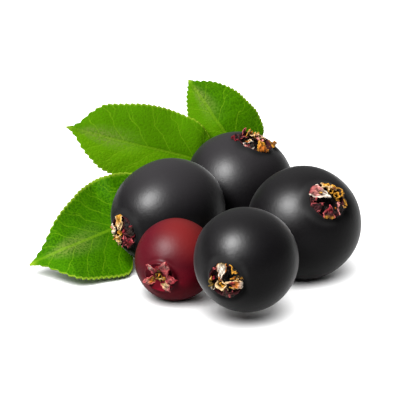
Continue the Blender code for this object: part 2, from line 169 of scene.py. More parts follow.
# Teeth and blades
TOOTH_ROWS = 10
TOOTH_DEPTH = 0.2
TOOTH_SLANT = 0.14
TOOTH_START = 0.35
TOOTH_SEAT = 0.25
TOOTH_DROP = 7
TOOTHLESS_END = 0.06
TOOTHED_FROM = 0.78
LEAF_COLUMNS = 26
OUTLINE_STEPS = 400
MIDRIB_STEPS = 600
COLUMN_CROWDING = 0.65
LEAF_REST = 0.34
LEAF_REST_BEND = 0.3
LEAF_LOWEST = 0.02
LEAF_THICKNESS = 0.26
LEAF_EDGE_THINNING = 0.55
LEAF_TIP_THINNING = 0.85
LEAF_TIP_FROM = 0.93
LEAF_FACES = np.array([0.0, -0.5, 0.86])
LEAF_WAVES = 2.2
LEAF_WAVE_SHIFT = 0.3

# Veins, the midrib below the blade, and the swelling of the underside over it
VEIN_PITCH = 2.6
VEIN_BEND = 0.1
VEIN_SWELL = 0.03
PALE_FROM_RIB = 0.3
RIB_RADII = [0.4, 0.38, 0.34, 0.3, 0.26, 0.2, 0.1]
RIB_DROP = 0.2
RIB_START = 0.03
RIB_END = 0.9
RIB_STOPS = 12
RIB_ROWS = 90
RIB_COLUMNS = 16
UNDER_RIB = 0.16
UNDER_RIB_REACH = 0.13
UNDER_RIB_TAPER = 0.35

# Stem: centre lines with radii from their first point to their last
TWIG = [(14.6, 16.5, 0.85), (10.8, 17.1, 1.7), (6.6, 17.0, 2.6), (3.4, 16.5, 2.85), (0.6, 15.0, 2.75),
        (-1.4, 11.4, 2.1), (-0.6, 8.0, 1.4), (1.1, 5.2, 1.3), (3.1, 2.0, 2.2), (4.6, -0.5, 3.8)]
TWIG_RADII = (0.82, 0.48)
TWIG_ROWS = 260
TWIG_COLUMNS = 30
STALK_RADII = (0.4, 0.34, 0.34, 0.36, 0.46)
STALK_ROWS = 90
STALK_COLUMNS = 20
STALK_LEAD = 0.7
STALK_SINK = STALK_DIMPLE - 0.04
STALK_ROUTES = {
    "left": [(4.0, 0.6, 3.3), (4.2, 2.1, 3.7)],
    "back": [(-1.2, 10.4, 1.9), (0.1, 10.1, 1.3)],
    "right": [(4.4, -0.2, 3.6), (5.4, 0.6, 3.0)],
    "front": [(4.4, -0.2, 3.7), (4.4, -5.0, 6.0), (5.9, -8.3, 6.8)],
    "red": [(4.4, -0.2, 3.7), (2.1, -3.0, 4.1)],
}
KNOTS = [((6.3, 16.9, 2.65), 1.05), ((1.75, 15.75, 2.8), 0.88), ((-1.35, 11.4, 2.1), 0.9),
         ((4.5, -0.3, 3.7), 0.85), ((12.3, 16.95, 1.55), 0.95), ((2.0, 3.75, 1.75), 0.72)]
KNOT_REACH = 0.75

# Colours of the dried crowns
WHITE = (0.5, 0.44, 0.36)
CREAM = (0.45, 0.31, 0.16)
GOLD = (0.36, 0.165, 0.014)
ORANGE = (0.28, 0.075, 0.003)
OLIVE = (0.1, 0.06, 0.004)
BLUSH = (0.46, 0.17, 0.15)
PINK = (0.32, 0.055, 0.06)
ROSE = (0.14, 0.004, 0.01)
WINE = (0.026, 0.0008, 0.003)
UMBER = (0.02, 0.009, 0.006)
SOOT = (0.002, 0.0015, 0.0015)

# Crowns, for a basin of measure 1. A crown: its sepals' root as radius and height, the slope they start with,
# the shares of their length between which they bend over, the profile of its cup, and its number of scraps.
# A sepal: the way its root lies from the crown's middle in the picture in degrees, its half width, its
# length, the slope it ends with (90 stands up, 180 lies inwards, 0 outwards), how far its tip leans sideways,
# and its colours at the root, on the blade, at the tip and along the edges.
# A curl: where it stands in the picture from the crown's middle, its radius, its height, its number of lobes,
# and its colours below and above
Crown = namedtuple("Crown", "root first bend cup sepals curls scraps")
Sepal = namedtuple("Sepal", "aim width length last lean colours")
Curl = namedtuple("Curl", "right up radius height lobes colours")
DEEP_CUP = [(0.25, -0.78), (0.9, -0.8), (1.35, -0.72), (1.6, -0.48), (1.74, -0.18), (1.82, -0.08),
            (1.84, -0.18), (1.7, -0.5), (1.42, -0.84), (0.9, -0.92)]
RAISED_CUP = [(0.15, -0.36), (0.4, -0.4), (0.66, -0.26), (0.85, -0.2), (0.98, -0.3), (0.95, -0.5),
              (0.6, -0.7)]
FOLDED = {"root": (1.66, -0.42), "first": 44, "bend": (0.1, 0.4), "cup": DEEP_CUP, "scraps": 7}
OPEN = {"root": (0.62, -0.33), "first": 48, "bend": (0.1, 0.6), "cup": RAISED_CUP, "scraps": 3}
CROWNS = {
    "right": Crown(**FOLDED, sepals=[
        Sepal(147, 0.72, 2.5, 184, -0.35, (ROSE, BLUSH, WHITE, WHITE)),
        Sepal(84, 0.9, 1.0, 135, 0.0, (ORANGE, GOLD, GOLD, CREAM)),
        Sepal(22, 1.1, 0.8, 96, 0.0, (SOOT, SOOT, UMBER, GOLD)),
        Sepal(-34, 0.5, 1.3, 150, 0.1, (SOOT, SOOT, SOOT, BLUSH)),
        Sepal(-86, 0.62, 1.5, 168, 0.1, (GOLD, WINE, ROSE, PINK)),
        Sepal(-152, 0.5, 1.35, 172, 0.1, (WINE, WINE, SOOT, PINK)),
    ], curls=[
        Curl(0.26, 0.92, 0.3, 0.42, 3, (OLIVE, GOLD)),
        Curl(0.88, 0.44, 0.32, 0.4, 4, (OLIVE, GOLD)),
    ]),
    "front": Crown(**FOLDED, sepals=[
        Sepal(100, 0.55, 2.25, 176, 0.35, (OLIVE, WHITE, WHITE, ORANGE)),
        Sepal(40, 0.95, 0.7, 88, 0.0, (SOOT, SOOT, SOOT, GOLD)),
        Sepal(-14, 0.46, 2.1, 178, 0.0, (WHITE, ORANGE, ROSE, CREAM)),
        Sepal(-74, 0.75, 1.2, 150, 0.0, (SOOT, UMBER, UMBER, WINE)),
        Sepal(-168, 0.6, 0.8, 110, 0.0, (SOOT, SOOT, OLIVE, OLIVE)),
    ], curls=[
        Curl(-0.34, -0.32, 0.58, 0.5, 4, (OLIVE, CREAM)),
        Curl(-0.2, -0.28, 0.26, 0.4, 3, (OLIVE, GOLD)),
        Curl(0.1, -0.95, 0.3, 0.25, 2, (CREAM, CREAM)),
        Curl(-1.15, -0.62, 0.22, 0.3, 3, (PINK, WHITE)),
    ]),
    "red": Crown(**OPEN, sepals=[
        Sepal(127, 0.42, 1.8, 16, 0.0, (ROSE, PINK, WHITE, PINK)),
        Sepal(98, 0.42, 1.3, 34, 0.0, (OLIVE, OLIVE, OLIVE, ROSE)),
        Sepal(62, 0.9, 2.5, 14, 0.0, (ROSE, PINK, BLUSH, ROSE)),
        Sepal(-4, 0.6, 2.0, 12, 0.0, (ROSE, PINK, PINK, ROSE)),
        Sepal(-53, 0.55, 1.5, 8, 0.1, (OLIVE, CREAM, BLUSH, PINK)),
        Sepal(-168, 0.5, 1.6, 12, 0.0, (OLIVE, ORANGE, BLUSH, PINK)),
    ], curls=[
        Curl(-0.05, 0.12, 0.45, 0.35, 5, (OLIVE, OLIVE)),
        Curl(0.0, 0.0, 0.22, 0.4, 3, (SOOT, OLIVE)),
    ]),
    "left": Crown(**FOLDED, sepals=[
        Sepal(104, 0.6, 2.0, 172, 0.0, (GOLD, GOLD, CREAM, CREAM)),
        Sepal(55, 0.75, 1.3, 150, 0.0, (WINE, SOOT, SOOT, WINE)),
        Sepal(4, 0.7, 1.8, 165, 0.0, (SOOT, UMBER, WINE, ROSE)),
        Sepal(-58, 0.8, 1.7, 168, 0.0, (WINE, ROSE, WINE, PINK)),
        Sepal(-128, 0.7, 2.1, 168, 0.2, (GOLD, CREAM, GOLD, CREAM)),
        Sepal(160, 0.6, 1.5, 150, 0.0, (BLUSH, BLUSH, CREAM, WHITE)),
    ], curls=[
        Curl(-0.2, -0.1, 0.3, 0.4, 3, (OLIVE, GOLD)),
    ]),
    "back": Crown(**FOLDED, sepals=[
        Sepal(165, 0.7, 0.85, -2, 0.0, (WINE, WINE, WINE, ROSE)),
        Sepal(104, 0.7, 0.9, 158, 0.0, (GOLD, CREAM, GOLD, CREAM)),
        Sepal(50, 0.8, 1.0, 162, 0.0, (PINK, CREAM, BLUSH, CREAM)),
        Sepal(-6, 0.65, 0.8, 24, 0.0, (ORANGE, GOLD, ORANGE, GOLD)),
        Sepal(-50, 0.7, 1.7, 160, 0.0, (ORANGE, ORANGE, GOLD, GOLD)),
        Sepal(-145, 0.6, 1.1, 150, 0.0, (BLUSH, SOOT, SOOT, WHITE)),
    ], curls=[
        Curl(0.5, 0.2, 0.38, 0.25, 3, (ROSE, BLUSH)),
        Curl(-0.5, 0.0, 0.3, 0.22, 3, (OLIVE, CREAM)),
    ]),
}

# Measures of the crowns' parts
CROWN_SEEDS = 10
CUP_ROWS = 40
CUP_COLUMNS = 60
SCRAP_COLOURS = [(UMBER, GOLD, CREAM, GOLD), (WINE, ROSE, ROSE, ROSE), (SOOT, UMBER, ORANGE, GOLD),
                 (SOOT, WINE, UMBER, PINK)]
SCRAP_WIDTHS = (0.14, 0.28)
SCRAP_LENGTHS = (0.6, 1.1)
SCRAP_SLOPES = (70, 170)
SCRAP_LEANS = (-0.2, 0.2)
SCRAP_ROOTS = (0.7, 1.0)
SCRAP_SINK = 0.1
SEPAL_OUTLINE = [0.55, 0.85, 1.0, 1.0, 0.92, 0.76, 0.48, 0.1]
SEPAL_ROWS = 44
SEPAL_COLUMNS = 23
SEPAL_THICKNESS = 0.12
SEPAL_FRAY = 0.15
SEPAL_CUPPING = 0.16
CRUMPLED_WIDTH = 0.6
CURL_ROWS = 40
CURL_COLUMNS = 9
CURL_THICKNESS = 0.07
CURL_SWEEP = 5.9
CURL_FOOT = 0.62
CURL_LOBE = 0.16
CURL_RAGGED = 0.2
CURL_BASE = -0.24
STAMENS = 9
STAMEN_RADII = (0.07, 0.055, 0.05, 0.09, 0.06)
STAMEN_ROWS = 12
STAMEN_COLUMNS = 8
STAMEN_RING = 0.7
STAMEN_FOOT = -0.66
STAMEN_BOW = 0.1
STAMEN_RISE = 0.08
ORANGE_STAMENS = 0.3

# Lamps, sky and table: the ways from the sprig to the lamps and to the sky's brightest place, the lamps'
# widths and watts, the cosine where the sky starts to brighten, its strengths, and the table's width and grey
KEY_TOWARDS = (-0.46, -0.46, 0.76)
LAMP_DISTANCE = 400.0
KEY_SIZE = 180.0
KEY_POWER = 5.0
GLOSS_POWER = 25.0
TABLE_TOWARDS = (-0.06, -0.55, 0.83)
TABLE_SIZE = 420.0
TABLE_POWER = 3.8
SKY_TOWARDS = (-0.08, 0.22, 0.97)
SKY_EDGE = 0.25
SKY_BRIGHT = 1.6
SKY_DIM = 0.05
FLOOR_SIZE = 4000.0
FLOOR_SHADE = 0.9


def unit(vector):
    """The vector, or each row of an array of them, at length 1."""
    vector = np.asarray(vector, float)
    return vector / np.linalg.norm(vector, axis=-1, keepdims=True)


def smooth_step(low, high, value):
    """0 below the low end, 1 above the high one, and an S-shaped rise between them."""
    t = np.clip((value - low) / (high - low), 0, 1)
    return t * t * (3 - 2 * t)


def blend(low, high, amount):
    """The low value or colour where the amount is 0, the high one where it is 1, and a mix between."""
    return np.asarray(low) * (1 - amount) + np.asarray(high) * amount


def bell(distance, reach):
    """A bell curve of the distance: 1 at none, and about a third at the reach."""
    return np.exp(-((distance / reach) ** 2))


def turn(count):
    """This many angles, evenly spread round a full turn, as a row."""
    return np.linspace(0, TAU, count, endpoint=False)[None, :]


def run_along(line):
    """How far along the line each of its points lies."""
    return np.concatenate([[0], np.cumsum(np.linalg.norm(np.diff(line, axis=0), axis=1))])


def smooth_path(points, count):
    """Points evenly spread along the Catmull-Rom curve through the given ones."""
    knots = np.asarray(points, float)
    ends = np.vstack([2 * knots[0] - knots[1], knots, 2 * knots[-1] - knots[-2]])
    place = np.linspace(0, len(knots) - 1, CURVE_STEPS * len(knots))
    first = np.minimum(place.astype(int), len(knots) - 2)
    t = (place - first)[:, None]
    a, b, c, d = (ends[first + k] for k in range(4))
    cubic = (3 * b - a - 3 * c + d) * t**3
    dense = 0.5 * (2 * b + (c - a) * t + (2 * a - 5 * b + 4 * c - d) * t**2 + cubic)
    run = run_along(dense)
    even = np.linspace(0, run[-1], count)
    return np.stack([np.interp(even, run, dense[:, k]) for k in range(dense.shape[1])], axis=1)


def turned_to(direction):
    """The axes, as columns, of a frame whose Z points along the direction."""
    return np.array(Vector(direction).to_track_quat("Z", "Y").to_matrix())


def grid_normals(points):
    """At each point of a grid the unit cross product of its steps along the rows and the columns."""
    return unit(np.cross(np.gradient(points, axis=1), np.gradient(points, axis=0)))


def in_scene(name, data):
    """A new object of the scene, which holds this mesh, lamp or camera."""
    made = bpy.data.objects.new(name, data)
    bpy.context.scene.collection.objects.link(made)
    return made


class Shell:
    """Closed surfaces gathered into one mesh, each with its faces turned outwards and its marks by point."""

    def __init__(self):
        self.points = []
        self.faces = []
        self.marks = []
        self.count = 0

    def add(self, points, quads, fans, marks):
        """Gather one surface, turned round if the volume that its faces enclose comes out negative."""
        loose = np.vstack([quads[:, [0, 1, 2]], quads[:, [0, 2, 3]], fans.reshape(-1, 3)])
        a, b, c = (points[loose[:, k]] for k in range(3))
        if np.einsum("ij,ij->i", a, np.cross(b, c)).sum() < 0:
            quads = quads[:, ::-1]
            fans = fans[:, ::-1]
        self.faces += (quads + self.count).tolist() + (fans + self.count).tolist()
        self.points.append(points)
        self.marks.append(marks)
        self.count += len(points)

    def ringed(self, rings, ends=None, **marks):
        """A round body along these rings, closed by fans from its end points or from the rings' middles."""
        rows, columns = rings.shape[:2]
        i, j = np.meshgrid(np.arange(rows - 1), np.arange(columns), indexing="ij")
        side = (j + 1) % columns
        low, high = i * columns, (i + 1) * columns
        quads = np.stack([low + j, high + j, high + side, low + side], -1).reshape(-1, 4)
        around = np.arange(columns)
        beside = (around + 1) % columns
        last = (rows - 1) * columns
        middle = np.full(columns, rows * columns)
        fans = np.concatenate([np.stack([middle, around, beside], -1),
                               np.stack([middle + 1, last + beside, last + around], -1)])
        first_end, last_end = (rings[0].mean(0), rings[-1].mean(0)) if ends is None else ends
        points = np.vstack([rings.reshape(-1, 3), first_end, last_end])
        full = {}
        for name, value in marks.items():
            value = np.broadcast_to(value, (rows, columns, *np.shape(value)[2:]))
            full[name] = np.concatenate([value.reshape(rows * columns, *value.shape[2:]), value[[0, -1], 0]])
        self.add(points, quads, fans, full)

    def sheet(self, top, bottom, **marks):
        """A thin body between two grids of the same size, closed by a rim of faces round their edges."""
        rows, columns = top.shape[:2]
        i, j = np.meshgrid(np.arange(rows - 1), np.arange(columns - 1), indexing="ij")
        low, high = i * columns + j, (i + 1) * columns + j
        face = np.stack([low, high, high + 1, low + 1], -1).reshape(-1, 4)
        number = np.arange(rows * columns).reshape(rows, columns)
        edge = np.concatenate([number[:-1, 0], number[-1, :-1], number[:0:-1, -1], number[0, :0:-1]])
        after = np.roll(edge, -1)
        under = rows * columns
        rim = np.stack([edge, edge + under, after + under, after], -1)
        quads = np.vstack([face, face[:, ::-1] + under, rim])
        points = np.vstack([top.reshape(-1, 3), bottom.reshape(-1, 3)])
        full = {name: np.concatenate([value.reshape(under, *value.shape[2:]) for value in pair])
                for name, pair in marks.items()}
        self.add(points, quads, np.zeros((0, 3), int), full)

    def finish(self, name, material, slot, *nodes):
        """The gathered surfaces as one piece of the sprig that stands for these CAD nodes."""
        mesh = bpy.data.meshes.new(name)
        mesh.from_pydata((np.vstack(self.points) * MM).tolist(), [], self.faces)
        for mark in self.marks[0]:
            value = np.concatenate([marks[mark] for marks in self.marks]).astype(np.float32)
            if value.ndim == 2:
                layer = mesh.attributes.new(mark, "FLOAT_COLOR", "POINT")
                layer.data.foreach_set("color", np.column_stack([value, np.ones(len(value))]).ravel())
            else:
                layer = mesh.attributes.new(mark, "FLOAT", "POINT")
                layer.data.foreach_set("value", value)
        mesh.update()
        mesh.shade_smooth()
        mesh.materials.append(material)
        piece = in_scene(name, mesh)
        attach(piece, "root")
        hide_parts(*nodes)
        return piece


class Wire:
    """An output socket of a node tree. Its operators add Math nodes."""

    def __init__(self, nodes, socket):
        self.nodes = nodes
        self.socket = socket

    def math(self, operation, *terms):
        """A Math node on these values or wires."""
        return self.nodes.node("ShaderNodeMath", {"operation": operation}, dict(enumerate(terms)))

    def __add__(self, other):
        return self.math("ADD", self, other)

    def __radd__(self, other):
        return self.math("ADD", other, self)

    def __sub__(self, other):
        return self.math("SUBTRACT", self, other)

    def __rsub__(self, other):
        return self.math("SUBTRACT", other, self)

    def __mul__(self, other):
        return self.math("MULTIPLY", self, other)

    def __rmul__(self, other):
        return self.math("MULTIPLY", other, self)

    def larger(self, other):
        """The larger of the two values."""
        return self.math("MAXIMUM", self, other)

    def off_whole(self):
        """How far the value is from the nearest whole number."""
        part = self.math("FRACT", self + 0.5)
        return self.math("ABSOLUTE", part - 0.5)

    def rising(self, low, high):
        """0 below the low end, 1 above the high one, and an S-shaped rise between them."""
        return self.nodes.node("ShaderNodeMapRange", {"interpolation_type": "SMOOTHSTEP"},
                               {"Value": self, "From Min": low, "From Max": high})


class NodeTree:
    """The nodes of a material or of the sky."""

    def __init__(self, tree):
        self.tree = tree

    def node(self, kind, settings=None, values=None, out=0):
        """A node of this kind: its settings first, then the values or wires of its sockets."""
        made = self.tree.nodes.new(kind)
        for name, value in (settings or {}).items():
            setattr(made, name, value)
        for socket, value in (values or {}).items():
            self.plug(made.inputs[socket], value)
        return Wire(self, made.outputs[out])

    def plug(self, socket, value):
        """Link a wire to the socket, or set a value or a colour on it."""
        if isinstance(value, Wire):
            self.tree.links.new(value.socket, socket)
        elif isinstance(value, (tuple, list)) and len(value) == 3 and socket.type == "RGBA":
            socket.default_value = (*value, 1.0)
        else:
            socket.default_value = value


class Finish(NodeTree):
    """A Principled material under construction, with patterns on the object's own coordinates."""

    def __init__(self, name, **constants):
        self.material = bpy.data.materials.new(name)
        self.material.use_nodes = True
        super().__init__(self.material.node_tree)
        self.shader = self.tree.nodes["Principled BSDF"]
        for socket, value in constants.items():
            self.shader.inputs[socket.replace("_", " ")].default_value = value
        self.place = None

    def where(self):
        """Object coordinates in millimetres."""
        if self.place is None:
            metres = self.node("ShaderNodeTexCoord", out="Object")
            self.place = self.node("ShaderNodeVectorMath", {"operation": "SCALE"},
                                   {0: metres, "Scale": 1 / MM})
        return self.place

    def noise(self, scale, detail=3.0, roughness=0.5, distortion=0.0):
        """Noise from 0 to 1 with about this many features to the millimetre."""
        values = {"Vector": self.where(), "Scale": scale, "Detail": detail, "Roughness": roughness,
                  "Distortion": distortion}
        return self.node("ShaderNodeTexNoise", values=values)

    def mark(self, name):
        """The piece's mark of this name, a number at each point."""
        return self.node("ShaderNodeAttribute", {"attribute_name": name}, out="Fac")

    def tint(self, name):
        """The piece's colour of this name at each point."""
        return self.node("ShaderNodeAttribute", {"attribute_name": name}, out="Color")

    def mix(self, amount, below, above):
        """The colour below, covered by the one above as far as the amount says."""
        return self.node("ShaderNodeMix", {"data_type": "RGBA"}, {0: amount, 6: below, 7: above}, out=2)

    def done(self, height=None, depth=0.0, **varying):
        """Plug what varies into the shader, and bump it by the height at this depth in millimetres."""
        for socket, value in varying.items():
            self.plug(self.shader.inputs[socket.replace("_", " ")], value)
        if height is not None:
            bump = self.node("ShaderNodeBump",
                             values={"Strength": 1.0, "Distance": depth * MM, "Height": height})
            self.plug(self.shader.inputs["Normal"], bump)
        return self.material


def black_skin():
    """Ripe skin, near-black under a thin and uneven bloom.

    It is a little greyer on its upper side, which is painted light, wine red where the blush mark is, and
    a painted shade of dull black round the basin. A faint sheen lightens its outline.
    """
    skin = Finish("black_skin", Specular_IOR_Level=0.055, IOR=1.45, Sheen_Weight=0.025, Sheen_Roughness=0.3)
    cloud = skin.noise(0.22, 3.0, 0.55)
    speck = skin.noise(2.6, 4.0, 0.65)
    fine = skin.noise(9.0, 2.0, 0.5)
    bloom = cloud.rising(0.35, 0.75) * 0.6 + speck.rising(0.4, 0.8) * 0.25
    colour = skin.mix(speck, (0.0002, 0.00017, 0.00022), (0.0005, 0.0004, 0.00046))
    colour = skin.mix(bloom, colour, (0.0005, 0.00045, 0.0006))
    # Painted light: a lighter grey on the upper side
    colour = skin.mix(skin.mark("sun"), colour, (0.0032, 0.0029, 0.0032))
    colour = skin.mix(skin.mark("blush"), colour, (0.006, 0.0004, 0.001))
    # Painted shade: darker black round the basin
    colour = skin.mix(skin.mark("soot"), colour, (0.0001, 0.00007, 0.0001))
    return skin.done(height=speck * 0.7 + fine * 0.3, depth=0.02, Base_Color=colour,
                     Roughness=0.39 + bloom * 0.07 + skin.mark("soot") * 0.5)


def red_skin():
    """Unripe red skin: maroon with paler pores, painted brick red on top and crimson on the shaded underside.
    """
    skin = Finish("red_skin", Specular_IOR_Level=0.034, IOR=1.45)
    speck = skin.noise(2.2, 4.0, 0.65)
    cloud = skin.noise(0.4, 2.0)
    # Painted fill light: the underside, which lies in shade, is painted a brighter crimson
    underside_fill = skin.mark("blush") + (cloud - 0.5) * 0.2
    colour = skin.mix(underside_fill, (0.0088, 0.0002, 0.0008), (0.046, 0.0001, 0.0028))
    # Painted light: brick red on the upper side
    colour = skin.mix(skin.mark("sun"), colour, (0.0185, 0.0011, 0.0011))
    colour = skin.mix(speck.rising(0.55, 0.8) * 0.2, colour, (0.017, 0.0014, 0.0012))
    # Painted shade: darker maroon round the basin
    colour = skin.mix(skin.mark("soot") * 0.4, colour, (0.008, 0.0001, 0.0005))
    return skin.done(height=speck, depth=0.02, Base_Color=colour, Roughness=0.43 + cloud * 0.08)


def dry_calyx():
    """Dried calyx: the colour that each point carries, flecked with dark spots and pale, flaky grains."""
    skin = Finish("dry_calyx", Specular_IOR_Level=0.12)
    grain = skin.noise(7.0, 4.0, 0.7)
    blotch = skin.noise(2.6, 4.0, 0.65)
    colour = skin.tint("tint")
    colour = skin.mix(blotch.rising(0.52, 0.66) * 0.7, colour, (0.012, 0.003, 0.002))
    colour = skin.mix(grain.rising(0.58, 0.78) * 0.3, colour, (0.3, 0.2, 0.1))
    return skin.done(height=grain * 0.6 + blotch * 0.4, depth=0.1, Base_Color=colour,
                     Roughness=0.5 + grain * 0.3)


def leaf_green():
    """Fresh leaf, paler underneath, with painted light where the pale mark says so and along the edge.

    Side veins are pale lines where the row mark is a whole number. Their width is in millimetres, because the
    narrow mark is the distance between two of them. Weaker ones fork off near the edge, and the midrib is
    where the out mark is small. Between them the green is clouded, with a fine net and grains, and a greyish
    painted sheen lies beside the midrib towards the tip.
    """
    leaf = Finish("leaf_green", Specular_IOR_Level=0.01)
    cloud = leaf.noise(0.3, 3.0, 0.55)
    cell = leaf.node("ShaderNodeTexVoronoi", {"feature": "DISTANCE_TO_EDGE"},
                     {"Vector": leaf.where(), "Scale": 2.4, "Randomness": 1.0})
    net = 1.0 - cell.rising(0.0, 0.16)
    grain = leaf.noise(5.0, 3.0, 0.6)
    across, along, out = leaf.mark("across"), leaf.mark("along"), leaf.mark("out")
    row = leaf.mark("row") + (leaf.noise(0.9, 2.0, 0.5) - 0.5) * 0.3 * across.rising(0.0, 0.4)

    def line(place, width):
        """1 on the lines where the place is a whole number, and 0 from this many millimetres away."""
        away = place.off_whole() * leaf.mark("narrow")
        return 1.0 - away.rising(0.012, width)

    fork = (across - 0.5) * 0.9
    strong = line(row, 0.06) * (1.0 - across.rising(0.5, 1.0) * 0.5)
    weak = line(row + fork, 0.045) * across.rising(0.46, 0.56) * 0.5
    rib = (1.0 - out.rising(0.05, 0.19)) * (1.0 - along * 0.45)
    vein = (strong.larger(weak) * (0.3 + grain * 0.75)).larger(rib)
    colour = leaf.mix(cloud.rising(0.3, 0.7), (0.009, 0.044, 0.0), (0.0155, 0.068, 0.0))
    # Painted light: each half of the blade is painted lighter by its own amount, away from the midrib
    colour = leaf.mix(leaf.mark("pale") * (0.5 + 0.9 * cloud), colour, (0.058, 0.145, 0.0012))
    colour = leaf.mix(net * 0.3 + grain.rising(0.38, 0.62) * 0.4, colour, (0.036, 0.12, 0.0))
    # Painted sheen: greyish beside the midrib towards the tip
    near_tip = along.rising(0.45, 0.8) * (1.0 - along.rising(0.86, 0.95))
    midrib_sheen = near_tip * (1.0 - across.rising(0.05, 0.42)) * grain.rising(0.3, 0.62)
    colour = leaf.mix(midrib_sheen * 0.75, colour, (0.085, 0.118, 0.02))
    colour = leaf.mix(vein * 0.6, colour, (0.095, 0.19, 0.004))
    # Painted highlight: a lighter rim along the edge and the tip
    edge = across.rising(0.93, 1.0).larger(along.rising(0.95, 1.0))
    colour = leaf.mix(edge * 0.8, colour, (0.14, 0.21, 0.012))
    colour = leaf.mix(leaf.mark("under") * 0.6, colour, (0.09, 0.16, 0.035))
    height = cell.rising(0.0, 0.3) * 0.4 + grain * 0.3 - vein * 0.35
    return leaf.done(height=height, depth=0.03, Base_Color=colour,
                     Roughness=0.5 + cloud * 0.14 + vein * 0.1)


def bark():
    """Bark: grey-brown, cracked and with pale pores, green and red on young stalks, and pale where cut."""
    skin = Finish("bark", Specular_IOR_Level=0.35)
    crack = skin.noise(1.5, 5.0, 0.7, distortion=0.6)
    grain = skin.noise(8.0, 3.0, 0.6)
    pore = skin.node("ShaderNodeTexVoronoi", {"feature": "F1"}, {"Vector": skin.where(), "Scale": 0.9})
    old = skin.mix(crack, (0.07, 0.036, 0.02), (0.26, 0.17, 0.11))
    old = skin.mix((1.0 - pore.rising(0.1, 0.22)) * 0.8, old, (0.45, 0.34, 0.24))
    young = skin.mix(crack.rising(0.35, 0.7), (0.1, 0.13, 0.02), (0.2, 0.06, 0.035))
    colour = skin.mix(skin.mark("young"), old, young)
    colour = skin.mix(skin.mark("cut"), colour, (0.55, 0.42, 0.24))
    return skin.done(height=crack * 0.7 + grain * 0.3, depth=0.09, Base_Color=colour,
                     Roughness=0.6 + grain * 0.25)


def berry_frame(berry):
    """The berry's centre, and the axes of a frame whose Z points at its calyx."""
    return np.array(berry.centre), turned_to(berry.calyx)


def stalk_foot(berry, depth):
    """The point where the stalk meets the berry, this far below its skin."""
    stalk = unit(berry.stalk)
    along = stalk @ unit(berry.calyx)
    reach = 1 / math.sqrt(along**2 / berry.length**2 + (1 - along**2) / berry.girth**2)
    return np.array(berry.centre) + stalk * (reach - depth)


def berry_surface(berry, seed):
    """Rings from the calyx basin's floor, over its lip and round the flesh to the far pole.

    A ring's radius and height follow the berry's profile: the basin's, then an ellipse. Soft folds, a cosine
    round the axis, raise and lower the lip and fade away from it as a bell curve. Slow sine waves in both
    directions move the flesh in and out. The stalk sinks a dimple whose depth is a bell curve of the distance
    from its foot, and what would lie below the ground is laid flat on it. Returns the rings, both poles and
    the mark for painted shade, a dark ring round the basin.
    """
    draw = np.random.default_rng(seed)
    depth = berry.basin * (1.0 if berry.ripe else OPEN_BASIN)
    basin = [(r * berry.basin, berry.length + h * depth) for r, h in BASIN]
    angles = np.linspace(math.asin(BASIN_EDGE * berry.basin / berry.girth), math.pi, FLESH_STEPS)
    flesh = [(berry.girth * math.sin(a), berry.length * math.cos(a)) for a in angles]
    profile = smooth_path(basin + flesh, BERRY_ROWS + 2)
    radius, height = profile[1:-1, :1], profile[1:-1, 1:]
    phi = turn(BERRY_COLUMNS)
    lip = bell(radius - BASIN_LIP * berry.basin, BASIN_LIP_REACH * berry.basin) * (height > 0)
    fold = lip * np.cos(BASIN_FOLDS * phi + draw.uniform(0, TAU)) * BASIN_FOLD
    slope = height / berry.length
    turns = draw.uniform(0, TAU, 4)
    wave = (np.sin(2 * phi + 2.1 * slope + turns[0]) + 0.7 * np.sin(3 * phi - 3.3 * slope + turns[1])
            + 0.4 * np.sin(5 * phi + 5.7 * slope + turns[2]))
    wave = wave * FLESH_WAVE * np.sqrt(np.clip(1 - slope**2, 0, 1))
    radius = radius * (1 + wave / berry.girth)
    local = np.stack([radius * np.cos(phi), radius * np.sin(phi), height + fold], axis=-1)
    centre, axes = berry_frame(berry)
    poles = np.array([[0, 0, profile[0, 1]], [0, 0, profile[-1, 1]]])
    foot = stalk_foot(berry, 0.0)
    sunk = []
    for points in (local, poles):
        points = centre + points @ axes.T
        near = bell(np.linalg.norm(points - foot, axis=-1, keepdims=True), STALK_DIMPLE_RADIUS)
        points = points - unit(berry.stalk) * near * STALK_DIMPLE
        if berry.rests:
            points[..., 2] = np.maximum(points[..., 2], 0.0)
        sunk.append(points)
    # Painted shade: a dark ring round the basin's hollow
    soot = 1 - smooth_step(BASIN_SHADE_START * berry.basin, BASIN_SHADE_END * berry.basin, radius)
    return *sunk, soot * (height > 0)


def facing(outward, mark):
    """A skin mark: an S-shaped rise of the cosine between the way out of the berry and the way it faces."""
    return smooth_step(mark.low, mark.high, outward @ unit(mark.facing))


def build_berry(name, berry, seed, material):
    """One berry's skin, with painted shade round the basin, its blush, painted fill and painted top light."""
    rings, poles, soot = berry_surface(berry, seed)
    outward = unit(rings - np.array(berry.centre))
    # On a ripe berry the blush is a wine-red tinge; on the red one it is painted fill light on the underside
    blush = facing(outward, RIPE_BLUSH if berry.ripe else RED_FILL_LIGHT) * berry.blush
    # Painted light on the upper side of the skin
    sun = facing(outward, RIPE_TOP_LIGHT if berry.ripe else RED_TOP_LIGHT) * berry.sun
    shell = Shell()
    shell.ringed(rings, poles, blush=blush, soot=soot, sun=sun)
    return shell.finish("skin_" + name, material, "black_skin" if berry.ripe else "red_skin", "berry_" + name)


def from_picture(berry, right, up):
    """The place in the calyx's own frame, square to its axis, that lies this way in the picture."""
    axes = turned_to(berry.calyx)
    seen = np.array([[PICTURE_RIGHT @ axes[:, 0], PICTURE_RIGHT @ axes[:, 1]],
                     [PICTURE_UP @ axes[:, 0], PICTURE_UP @ axes[:, 1]]])
    return np.linalg.solve(seen, [right, up])


